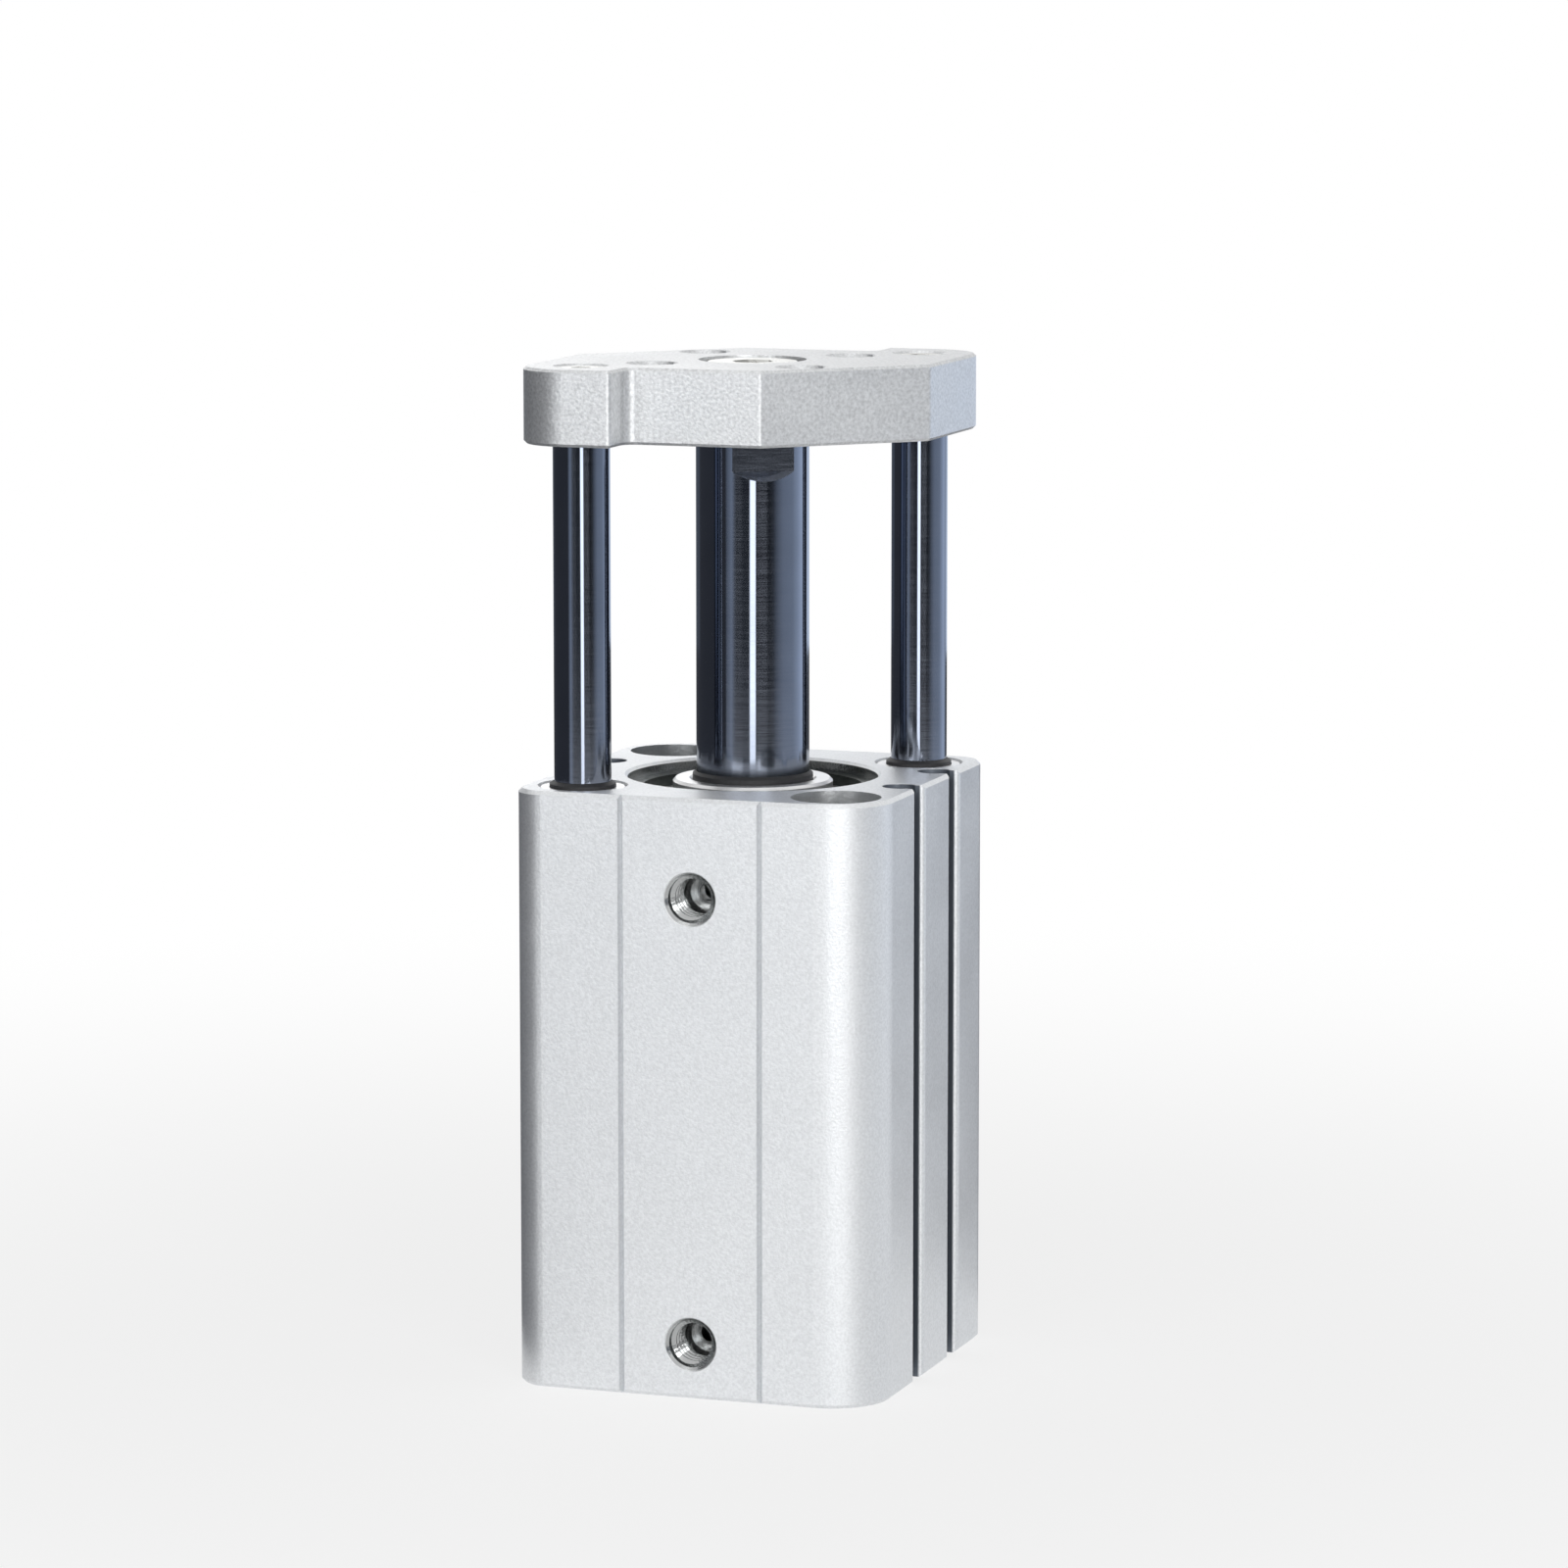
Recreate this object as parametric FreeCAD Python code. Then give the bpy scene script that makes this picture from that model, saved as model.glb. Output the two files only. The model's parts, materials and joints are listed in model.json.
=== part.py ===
import FreeCAD, Part
import math
import os

# Guided pneumatic cylinder, 25 mm bore and 30 mm stroke, drawn fully extended.
# Frame: origin at the centre of the barrel's head-end face, +Z along the rods towards the end plate.
# The port face is -Y. The part is symmetric under a half turn about Z, apart from the two ports.
# All lengths are in millimetres, all angles in degrees.

# Ratings
BORE_D = 25.0
STROKE = 30.0
PISTON_ROD_D = 12.0
GUIDE_ROD_D = 6.0

# Barrel section, an aluminium extrusion
BARREL_SIDE = 40.0
CORNER_INSET = 6.0
GUIDE_CORNER_R = 3.5
MOUNT_CORNER_R = 6.5
END_CHAMFER = 0.4
GROOVE_OFFSET = 7.65
GROOVE_W = 0.6
GROOVE_DEPTH = 0.5
SLOT_SHIFT = 1.8
SLOT_SPACING = 12.0
SLOT_ROOT_D = 3.8
SLOT_ROOT_DEPTH = 2.2
SLOT_NECK_W = 3.0
SLOT_LIP_R = 0.6

# Mounting holes and ports
MOUNT_HOLE_D = 5.5
MOUNT_CBORE_D = 9.4
MOUNT_CBORE_DEPTH = 7.0
PORT_THREAD_D = 5.0
PORT_DEPTH = 5.2
PORT_MOUTH_D = 5.8
PORT_STEP_D = 3.4
PORT_STEP_DEPTH = 1.0
PORT_PASSAGE_D = 2.0
ROD_PORT_RISE = 2.5

# Head end, closed by a staked plate
HEAD_PLATE_STEP = 0.75
HEAD_PLATE_T = 4.0
HEAD_PLATE_RECESS = 0.8
STAKE_W = 0.7
STAKE_GROOVE_W = 1.0

# Piston
PISTON_L = 13.4
PISTON_CLEARANCE = 0.15
PISTON_SEAL_W = 3.0
PISTON_SEAL_DEPTH = 2.8
PISTON_SEAL_VEE = 0.9
PISTON_MAGNET_W = 4.0
PISTON_MAGNET_DEPTH = 3.0
PISTON_LAND_W = 2.1
BUMPER_INSET = 2.0
BUMPER_W = 2.4
BUMPER_DEPTH = 1.2
BUMPER_PROUD = 0.8
BUMPER_TAPER = 0.4
END_GAP = 0.3
ROD_SHOULDER = 2.0
RIVET_FLARE = 1.0

# Rod cover and what it carries
COVER_STEP = 0.75
COVER_FLANGE_T = 2.4
COVER_L = 10.6
COVER_NECK_L = 4.0
COVER_NECK_GAP = 1.3
COVER_BOSS_WALL = 0.8
COVER_BOSS_SINK = 0.4
O_RING_D = 1.6
ROD_BUSH_WALL = 1.0
ROD_BUSH_L = 7.2
ROD_SEAL_W = 1.7
ROD_SEAL_L = 3.2
ROD_SEAL_WEB = 0.7
ROD_LIP_T = 0.4
ROD_LIP_PROUD = 0.8

# Retaining ring
RING_T = 1.2
RING_SEAT = 0.8
RING_W = 2.3
RING_ECCENTRIC = 0.4
RING_LUG_R = 1.6
RING_LUG_HOLE_D = 1.4
RING_LUG_ANGLE = 13.0
RING_GAP_ANGLE = 109.0
RING_GAP_W = 2.8
RING_LIP = 1.3

# Guide rods, bushes and wipers
GUIDE_BUSH_WALL = 1.0
GUIDE_BUSH_L = 10.0
GUIDE_BUSH_SPACER = 8.0
GUIDE_PASSAGE_GAP = 0.4
GUIDE_WIPER_W = 1.75
GUIDE_WIPER_L = 1.85
GUIDE_LIP_T = 0.5
GUIDE_LIP_PROUD = 0.5
GUIDE_WASHER_T = 0.8
GUIDE_WASHER_SINK = 0.15
GUIDE_FOOT_CLEARANCE = 1.0
GUIDE_SEAT_DEPTH = 3.5

# End plate
PLATE_T = 8.0
PLATE_GAP_IN = 6.0
PLATE_LOBE_PROUD = 5.0
PLATE_LOBE_REACH = 5.4
PLATE_CORNER_FILLET = 1.2
PLATE_EDGE_R = 0.5
PLATE_CHAMFER = 0.3
PLATE_HEAD_ACCESS = 0.25
PLATE_THREAD_D = 5.0
PLATE_TAP_OFFSET = 8.25
ROD_SEAT_DEPTH = 1.0

# Wrench flats on the piston rod
FLAT_DEPTH = 1.0
FLAT_BELOW_PLATE = 3.4
FLAT_RUNOUT = 1.0
FLAT_ANGLE = 32.0

# Screws, with their threads drawn at the core diameter
ROD_SCREW_CORE_D = 5.0
ROD_SCREW_HOLE_D = 6.4
ROD_SCREW_HEAD_D = 10.0
ROD_SCREW_HEAD_H = 4.0
ROD_SCREW_SOCKET_AF = 4.0
ROD_SCREW_SOCKET_DEPTH = 2.2
ROD_SCREW_CBORE_GAP = 0.7
ROD_SCREW_ENGAGE = 8.0
GUIDE_SCREW_CORE_D = 2.5
GUIDE_SCREW_HOLE_D = 3.4
GUIDE_SCREW_HEAD_D = 5.4
GUIDE_SCREW_SOCKET_AF = 2.0
GUIDE_SCREW_SOCKET_DEPTH = 1.1
GUIDE_SCREW_ENGAGE = 6.0
SCREW_SINK = 0.2
TAP_RUNOUT = 3.0

# Fits and small breaks
RUNNING_FIT = 0.03
SEAL_FIT = 0.05
SEAT_FIT = 0.05
THREAD_FIT = 0.05
EDGE = 0.3

# Edges within this height of an end lie on it
LEVEL = 0.001

# Heights along Z, worked out from the stack of pieces
CHAMBER_Z0 = HEAD_PLATE_RECESS + HEAD_PLATE_T
PISTON_Z0 = CHAMBER_Z0 + BUMPER_PROUD + END_GAP + STROKE
PISTON_Z1 = PISTON_Z0 + PISTON_L
COVER_Z0 = PISTON_Z1 + BUMPER_PROUD + END_GAP
COVER_Z1 = COVER_Z0 + COVER_L
FLANGE_Z0 = COVER_Z1 - COVER_FLANGE_T
RING_Z1 = COVER_Z1 + RING_T
BARREL_L = RING_Z1 + RING_LIP
BOSS_Z1 = BARREL_L - COVER_BOSS_SINK
ROD_LIP_Z1 = BOSS_Z1 + ROD_LIP_PROUD
PLATE_Z0 = BARREL_L + PLATE_GAP_IN + STROKE
PLATE_Z1 = PLATE_Z0 + PLATE_T
GUIDE_FOOT_Z = GUIDE_FOOT_CLEARANCE + STROKE
WASHER_Z1 = BARREL_L - GUIDE_WASHER_SINK
WASHER_Z0 = WASHER_Z1 - GUIDE_WASHER_T
WIPER_Z0 = WASHER_Z1 - GUIDE_WIPER_L
GUIDE_LIP_Z1 = BARREL_L + GUIDE_LIP_PROUD
UPPER_BUSH_Z0 = WIPER_Z0 - GUIDE_BUSH_L
LOWER_BUSH_Z0 = UPPER_BUSH_Z0 - GUIDE_BUSH_SPACER - GUIDE_BUSH_L
O_RING_Z = (COVER_Z0 + COVER_NECK_L + FLANGE_Z0) / 2
ROD_SEAL_Z0 = COVER_Z0 + ROD_BUSH_L + ROD_SEAL_WEB
ROD_SEAL_Z1 = ROD_SEAL_Z0 + ROD_SEAL_L
ROD_PORT_Z = COVER_Z0 + ROD_PORT_RISE
HEAD_PORT_Z = CHAMBER_Z0 + PORT_PASSAGE_D / 2

# Radii and offsets that several pieces share
BORE_R = BORE_D / 2
ROD_R = PISTON_ROD_D / 2
GUIDE_R = GUIDE_ROD_D / 2
FLANGE_R = BORE_R + COVER_STEP
MOUTH_R = FLANGE_R + SEAT_FIT
RING_GROOVE_R = MOUTH_R + RING_SEAT
HEAD_PLATE_R = BORE_R + HEAD_PLATE_STEP
HEAD_SEAT_R = HEAD_PLATE_R + SEAT_FIT
O_RING_GROOVE_R = BORE_R - O_RING_D
ROD_BUSH_R = ROD_R + ROD_BUSH_WALL
ROD_SEAL_R = ROD_R + ROD_SEAL_W
BOSS_R = ROD_SEAL_R + COVER_BOSS_WALL
PISTON_R = BORE_R - PISTON_CLEARANCE
SPIGOT_R = ROD_R - ROD_SHOULDER
BUMPER_OUTER_R = BORE_R - BUMPER_INSET
BUMPER_INNER_R = BUMPER_OUTER_R - BUMPER_W
GUIDE_BUSH_R = GUIDE_R + GUIDE_BUSH_WALL
GUIDE_PASSAGE_R = GUIDE_R + GUIDE_PASSAGE_GAP
WIPER_RECESS_R = GUIDE_R + GUIDE_WIPER_W
ROD_SCREW_CBORE_R = ROD_SCREW_HEAD_D / 2 + ROD_SCREW_CBORE_GAP
HALF_SIDE = BARREL_SIDE / 2
CORNER_AXIS = HALF_SIDE - CORNER_INSET
PLATE_FRONT = HALF_SIDE - PLATE_LOBE_PROUD
ROD_SEAT_R = ROD_R + SEAT_FIT
GUIDE_SEAT_R = GUIDE_R + SEAT_FIT
GUIDE_CENTRES = {"left": (-CORNER_AXIS, -CORNER_AXIS), "right": (CORNER_AXIS, CORNER_AXIS)}
MOUNT_CENTRES = ((CORNER_AXIS, -CORNER_AXIS), (-CORNER_AXIS, CORNER_AXIS))
Z_AXIS = FreeCAD.Vector(0, 0, 1)
ORIGIN = FreeCAD.Vector(0, 0, 0)


def cylinder(radius, z0, z1, centre=(0, 0)):
    """Upright cylinder between two heights."""
    return Part.makeCylinder(radius, z1 - z0, FreeCAD.Vector(centre[0], centre[1], z0))


def tube(outer_r, inner_r, z0, z1, centre=(0, 0)):
    """Upright tube between two heights."""
    return cylinder(outer_r, z0, z1, centre).cut(cylinder(inner_r, z0, z1, centre))


def turned(profile, centre=(0, 0)):
    """Solid turned about an upright axis from a closed profile of (radius, height) points."""
    points = [FreeCAD.Vector(radius, 0, height) for radius, height in profile]
    face = Part.Face(Part.makePolygon(points + points[:1]))
    solid = face.revolve(ORIGIN, Z_AXIS, 360)
    solid.translate(FreeCAD.Vector(centre[0], centre[1], 0))
    return solid


def rounded_wire(corners):
    """Closed flat wire through (x, y, radius) corners, each rounded by its own radius."""
    starts, arcs = [], []
    count = len(corners)
    for index, (x, y, radius) in enumerate(corners):
        corner = FreeCAD.Vector(x, y, 0)
        before = (FreeCAD.Vector(*corners[index - 1][:2], 0) - corner).normalize()
        after = (FreeCAD.Vector(*corners[(index + 1) % count][:2], 0) - corner).normalize()
        half_angle = before.getAngle(after) / 2
        setback = radius / math.tan(half_angle)
        towards_centre = (before + after).normalize()
        middle = corner + towards_centre * (radius / math.sin(half_angle) - radius)
        starts.append(corner + before * setback)
        arcs.append((corner + before * setback, middle, corner + after * setback))
    edges = []
    for index, (start, middle, end) in enumerate(arcs):
        edges.append(Part.Arc(start, middle, end).toShape())
        edges.append(Part.makeLine(end, starts[(index + 1) % count]))
    return Part.Wire(edges)


def prism(wire, z0, z1):
    """Solid that carries a flat wire from one height to another."""
    solid = Part.Face(wire).extrude(FreeCAD.Vector(0, 0, z1 - z0))
    solid.translate(FreeCAD.Vector(0, 0, z0))
    return solid


def hexagon(across_flats, z0, z1, centre=(0, 0)):
    """Upright hexagonal prism."""
    corner_r = across_flats / 2 / math.cos(math.radians(30))
    points = []
    for index in range(6):
        angle = math.radians(60 * index)
        points.append(FreeCAD.Vector(corner_r * math.cos(angle), corner_r * math.sin(angle), 0))
    solid = prism(Part.makePolygon(points + points[:1]), z0, z1)
    solid.translate(FreeCAD.Vector(centre[0], centre[1], 0))
    return solid


def chamfer_ends(solid, size, z0, z1):
    """Chamfer the outline of a prism at both of its ends."""
    rim = []
    for edge in solid.Edges:
        box = edge.BoundBox
        if box.ZLength < LEVEL and min(abs(box.ZMin - z0), abs(box.ZMax - z1)) < LEVEL:
            rim.append(edge)
    return solid.makeChamfer(size, rim)


def half_turn_copy(shape):
    """The same shape after half a turn about the cylinder's axis."""
    copy = shape.copy()
    copy.rotate(ORIGIN, Z_AXIS, 180)
    return copy


def o_ring(mean_r, height):
    """O-ring about the cylinder's axis."""
    return Part.makeTorus(mean_r, O_RING_D / 2, FreeCAD.Vector(0, 0, height))


# Barrel

def barrel_blank():
    """Extruded outline: tight corners at the guide rods, round ones at the mounting holes."""
    s = HALF_SIDE
    corners = [(-s, -s, GUIDE_CORNER_R), (s, -s, MOUNT_CORNER_R),
               (s, s, GUIDE_CORNER_R), (-s, s, MOUNT_CORNER_R)]
    return chamfer_ends(prism(rounded_wire(corners), 0, BARREL_L), END_CHAMFER, 0, BARREL_L)


def sensor_slot(offset):
    """Keyhole slot along the +X face: a round root, a narrower neck and rounded lips."""
    root_x = HALF_SIDE - SLOT_ROOT_DEPTH
    root = cylinder(SLOT_ROOT_D / 2, 0, BARREL_L, (root_x, offset))
    half_neck = SLOT_NECK_W / 2
    half_mouth = half_neck + SLOT_LIP_R
    lip_x = HALF_SIDE - SLOT_LIP_R
    across = SLOT_LIP_R * math.sin(math.radians(45))
    points = [(root_x, half_neck), (lip_x, half_neck), (HALF_SIDE, half_mouth)]
    right = [FreeCAD.Vector(x, y, 0) for x, y in points]
    left = [FreeCAD.Vector(x, -y, 0) for x, y in points]
    bend = FreeCAD.Vector(lip_x + across, half_mouth - across, 0)
    mirrored_bend = FreeCAD.Vector(bend.x, -bend.y, 0)
    wire = Part.Wire([Part.makeLine(left[0], right[0]), Part.makeLine(right[0], right[1]),
                      Part.Arc(right[1], bend, right[2]).toShape(),
                      Part.makeLine(right[2], left[2]),
                      Part.Arc(left[2], mirrored_bend, left[1]).toShape(),
                      Part.makeLine(left[1], left[0])])
    neck = prism(wire, 0, BARREL_L)
    neck.translate(FreeCAD.Vector(0, offset, 0))
    return root.fuse(neck)


def face_groove(offset):
    """Fine vee groove down the port face."""
    half = GROOVE_W / 2
    points = [FreeCAD.Vector(offset - half, -HALF_SIDE, 0),
              FreeCAD.Vector(offset + half, -HALF_SIDE, 0),
              FreeCAD.Vector(offset, GROOVE_DEPTH - HALF_SIDE, 0)]
    return prism(Part.makePolygon(points + points[:1]), 0, BARREL_L)


def bore_cut():
    """Everything turned about the main axis: staked seat, bore, cover mouth and ring groove."""
    lip_r = HEAD_SEAT_R - STAKE_W
    return turned([
        (0, 0), (HEAD_SEAT_R - STAKE_W / 2, 0), (lip_r, HEAD_PLATE_RECESS),
        (HEAD_SEAT_R, HEAD_PLATE_RECESS + STAKE_W), (HEAD_SEAT_R, CHAMBER_Z0),
        (BORE_R, CHAMBER_Z0), (BORE_R, FLANGE_Z0),
        (MOUTH_R, FLANGE_Z0), (MOUTH_R, COVER_Z1), (RING_GROOVE_R, COVER_Z1), (RING_GROOVE_R, RING_Z1),
        (MOUTH_R, RING_Z1), (MOUTH_R, BARREL_L - EDGE), (MOUTH_R + EDGE, BARREL_L), (0, BARREL_L)])


def staking_groove():
    """Ring groove that the staking tool leaves around the head plate."""
    inner_r = HEAD_SEAT_R + STAKE_W / 2
    return turned([(inner_r, 0), (inner_r + STAKE_GROOVE_W, 0),
                   (inner_r + STAKE_GROOVE_W / 2, STAKE_GROOVE_W / 2)])


def guide_cut(centre):
    """Guide bore with its wiper recess, bush seat and the passage for the rod's foot."""
    return turned([
        (0, 0), (GUIDE_PASSAGE_R + EDGE, 0), (GUIDE_PASSAGE_R, EDGE),
        (GUIDE_PASSAGE_R, LOWER_BUSH_Z0), (GUIDE_BUSH_R, LOWER_BUSH_Z0),
        (GUIDE_BUSH_R, WIPER_Z0), (WIPER_RECESS_R, WIPER_Z0),
        (WIPER_RECESS_R, BARREL_L), (0, BARREL_L)], centre)


def mount_cut(centre):
    """Through hole for a mounting screw, counterbored at both ends."""
    hole = cylinder(MOUNT_HOLE_D / 2, 0, BARREL_L, centre)
    low = cylinder(MOUNT_CBORE_D / 2, 0, MOUNT_CBORE_DEPTH, centre)
    high = cylinder(MOUNT_CBORE_D / 2, BARREL_L - MOUNT_CBORE_DEPTH, BARREL_L, centre)
    return hole.fuse([low, high])


def port_cut(height):
    """Port on the -Y face: countersunk mouth, tapped length and a fine passage to the bore."""
    mouth_depth = (PORT_MOUTH_D - PORT_THREAD_D) / 2
    inner_y = (BORE_R + math.sqrt(BORE_R ** 2 - PORT_PASSAGE_D ** 2)) / 2
    step_depth = PORT_DEPTH + PORT_STEP_DEPTH
    cut = turned([(0, 0), (PORT_MOUTH_D / 2, 0), (PORT_THREAD_D / 2, mouth_depth),
                  (PORT_THREAD_D / 2, PORT_DEPTH), (PORT_STEP_D / 2, PORT_DEPTH),
                  (PORT_STEP_D / 2, step_depth), (PORT_PASSAGE_D / 2, step_depth),
                  (PORT_PASSAGE_D / 2, HALF_SIDE - inner_y), (0, HALF_SIDE - inner_y)])
    cut.rotate(ORIGIN, FreeCAD.Vector(1, 0, 0), -90)
    cut.translate(FreeCAD.Vector(0, -HALF_SIDE, height))
    return cut


def barrel():
    slots = [sensor_slot(SLOT_SHIFT + side * SLOT_SPACING / 2) for side in (-1, 1)]
    grooves = [face_groove(side * GROOVE_OFFSET) for side in (-1, 1)]
    cuts = [bore_cut(), staking_groove()]
    cuts += slots + grooves + [half_turn_copy(cut) for cut in slots + grooves]
    cuts += [guide_cut(centre) for centre in GUIDE_CENTRES.values()]
    cuts += [mount_cut(centre) for centre in MOUNT_CENTRES]
    cuts += [port_cut(HEAD_PORT_Z), port_cut(ROD_PORT_Z)]
    return barrel_blank().cut(cuts)


# Head end

def head_plate():
    """Disc staked into the head end, with an O-ring groove in its rim."""
    r = HEAD_PLATE_R
    groove_r = HEAD_SEAT_R - O_RING_D
    z0, z1 = HEAD_PLATE_RECESS, CHAMBER_Z0
    groove_z0 = head_seal_z() - O_RING_D / 2
    groove_z1 = head_seal_z() + O_RING_D / 2
    chamfer = STAKE_W - SEAT_FIT
    return turned([(0, z0), (r - chamfer, z0), (r, z0 + chamfer), (r, groove_z0),
                   (groove_r, groove_z0), (groove_r, groove_z1), (r, groove_z1), (r, z1), (0, z1)])


def head_seal_z():
    """Height of the head plate's O-ring, half way up the straight part of its rim."""
    return (HEAD_PLATE_RECESS + STAKE_W + CHAMBER_Z0) / 2


def head_plate_seal():
    return o_ring(HEAD_SEAT_R - O_RING_D / 2, head_seal_z())


# Rod cover group

def rod_cover():
    """Turned cover: flange on the mouth's seat, O-ring land, neck past the rod port, raised boss."""
    land_r = BORE_R - SEAT_FIT
    neck_r = BORE_R - COVER_NECK_GAP
    groove_z0 = O_RING_Z - O_RING_D / 2
    groove_z1 = O_RING_Z + O_RING_D / 2
    neck_z1 = COVER_Z0 + COVER_NECK_L
    bush_z1 = COVER_Z0 + ROD_BUSH_L
    lip_r = ROD_R + ROD_LIP_T + SEAL_FIT
    return turned([
        (ROD_BUSH_R, COVER_Z0), (neck_r - EDGE, COVER_Z0), (neck_r, COVER_Z0 + EDGE),
        (neck_r, neck_z1), (land_r, neck_z1), (land_r, groove_z0),
        (O_RING_GROOVE_R, groove_z0), (O_RING_GROOVE_R, groove_z1), (land_r, groove_z1),
        (land_r, FLANGE_Z0), (FLANGE_R, FLANGE_Z0), (FLANGE_R, COVER_Z1),
        (BOSS_R, COVER_Z1), (BOSS_R, BOSS_Z1 - EDGE), (BOSS_R - EDGE, BOSS_Z1),
        (lip_r + EDGE, BOSS_Z1), (lip_r, BOSS_Z1 - EDGE), (lip_r, ROD_SEAL_Z1),
        (ROD_SEAL_R, ROD_SEAL_Z1), (ROD_SEAL_R, ROD_SEAL_Z0),
        (ROD_R + EDGE, ROD_SEAL_Z0), (ROD_R + EDGE, bush_z1), (ROD_BUSH_R, bush_z1)])


def cover_seal():
    return o_ring(BORE_R - O_RING_D / 2, O_RING_Z)


def rod_bush():
    return tube(ROD_BUSH_R, ROD_R + RUNNING_FIT, COVER_Z0, COVER_Z0 + ROD_BUSH_L)


def rod_seal():
    """Lip seal with a vee on its pressure side and a wiper lip that stands out of the boss."""
    inner_r = ROD_R + SEAL_FIT
    middle_r = (inner_r + ROD_SEAL_R) / 2
    return turned([
        (inner_r, ROD_SEAL_Z0), (middle_r, ROD_SEAL_Z0 + ROD_SEAL_L / 2), (ROD_SEAL_R, ROD_SEAL_Z0),
        (ROD_SEAL_R, ROD_SEAL_Z1), (ROD_R + ROD_LIP_T, ROD_SEAL_Z1),
        (ROD_R + ROD_LIP_T, ROD_LIP_Z1 - EDGE), (inner_r, ROD_LIP_Z1)])


def retaining_ring():
    """Internal retaining ring: widest opposite its gap, with a holed lug at each end."""
    outer_r = RING_GROOVE_R - SEAT_FIT
    band = cylinder(outer_r, COVER_Z1, RING_Z1)
    window = cylinder(outer_r - RING_W, COVER_Z1, RING_Z1, (RING_ECCENTRIC, 0))
    band = band.cut(window)
    lug_centre_r = MOUTH_R - EDGE - RING_LUG_R
    lugs, holes = [], []
    for side in (-1, 1):
        angle = math.radians(side * RING_LUG_ANGLE)
        centre = (lug_centre_r * math.cos(angle), lug_centre_r * math.sin(angle))
        lugs.append(cylinder(RING_LUG_R, COVER_Z1, RING_Z1, centre))
        holes.append(cylinder(RING_LUG_HOLE_D / 2, COVER_Z1, RING_Z1, centre))
    gap = Part.makeBox(outer_r, RING_GAP_W, RING_T, FreeCAD.Vector(0, -RING_GAP_W / 2, COVER_Z1))
    ring = band.fuse(lugs).cut(holes + [gap])
    ring.rotate(ORIGIN, Z_AXIS, RING_GAP_ANGLE)
    return ring


# Guides in the barrel

def guide_bush(centre, z0):
    return tube(GUIDE_BUSH_R, GUIDE_R + RUNNING_FIT, z0, z0 + GUIDE_BUSH_L, centre)


def guide_wiper(centre):
    """Rubber wiper: a flange under the washer and a lip that stands out round the guide rod."""
    inner_r = GUIDE_R + SEAL_FIT
    lip_r = GUIDE_R + GUIDE_LIP_T
    flange_r = WIPER_RECESS_R - SEAT_FIT
    return turned([(inner_r, WIPER_Z0), (flange_r, WIPER_Z0), (flange_r, WASHER_Z0),
                   (lip_r, WASHER_Z0), (lip_r, GUIDE_LIP_Z1 - EDGE), (inner_r, GUIDE_LIP_Z1)], centre)


def guide_washer(centre):
    """Washer that holds a wiper in its recess, chamfered round its outer rim."""
    inner_r = GUIDE_R + GUIDE_LIP_T + SEAT_FIT
    outer_r = WIPER_RECESS_R - SEAT_FIT
    return turned([(inner_r, WASHER_Z0), (outer_r, WASHER_Z0), (outer_r, WASHER_Z1 - EDGE),
                   (outer_r - EDGE, WASHER_Z1), (inner_r, WASHER_Z1)], centre)


# Piston and piston rod

def piston_bands():
    """Heights of the seal groove and the magnet groove, set in from the two faces by one land."""
    seal = (PISTON_Z1 - PISTON_LAND_W - PISTON_SEAL_W, PISTON_Z1 - PISTON_LAND_W)
    magnet = (PISTON_Z0 + PISTON_LAND_W, PISTON_Z0 + PISTON_LAND_W + PISTON_MAGNET_W)
    return seal, magnet


def piston():
    """Piston with grooves for its seal, magnet and two bumpers, riveted on the rod's spigot."""
    r = PISTON_R
    (seal_z0, seal_z1), (magnet_z0, magnet_z1) = piston_bands()
    body = turned([
        (SPIGOT_R + RIVET_FLARE, PISTON_Z0), (r - EDGE, PISTON_Z0), (r, PISTON_Z0 + EDGE),
        (r, magnet_z0), (r - PISTON_MAGNET_DEPTH, magnet_z0), (r - PISTON_MAGNET_DEPTH, magnet_z1),
        (r, magnet_z1), (r, seal_z0), (r - PISTON_SEAL_DEPTH, seal_z0),
        (r - PISTON_SEAL_DEPTH, seal_z1), (r, seal_z1), (r, PISTON_Z1 - EDGE),
        (r - EDGE, PISTON_Z1), (SPIGOT_R, PISTON_Z1), (SPIGOT_R, PISTON_Z0 + RIVET_FLARE)])
    seats = []
    for z0, z1 in ((PISTON_Z0, PISTON_Z0 + BUMPER_DEPTH), (PISTON_Z1 - BUMPER_DEPTH, PISTON_Z1)):
        seats.append(tube(BUMPER_OUTER_R, BUMPER_INNER_R, z0, z1))
    return body.cut(seats)


def piston_seal():
    """Double-lipped seal with a shallow vee around its rim."""
    seal_z0, seal_z1 = piston_bands()[0]
    inner_r = PISTON_R - PISTON_SEAL_DEPTH
    lip_r = BORE_R - SEAL_FIT
    return turned([(inner_r, seal_z0), (lip_r, seal_z0),
                   (lip_r - PISTON_SEAL_VEE, (seal_z0 + seal_z1) / 2),
                   (lip_r, seal_z1), (inner_r, seal_z1)])


def piston_magnet():
    magnet_z0, magnet_z1 = piston_bands()[1]
    return tube(PISTON_R - SEAT_FIT, PISTON_R - PISTON_MAGNET_DEPTH, magnet_z0, magnet_z1)


def bumper(seat_z, tip_z):
    """Rubber ring that stands proud of a piston face and tapers to its tip."""
    shoulder_z = tip_z - math.copysign(BUMPER_TAPER, tip_z - seat_z)
    return turned([(BUMPER_INNER_R, seat_z), (BUMPER_INNER_R, shoulder_z),
                   (BUMPER_INNER_R + BUMPER_TAPER, tip_z), (BUMPER_OUTER_R - BUMPER_TAPER, tip_z),
                   (BUMPER_OUTER_R, shoulder_z), (BUMPER_OUTER_R, seat_z)])


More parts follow.
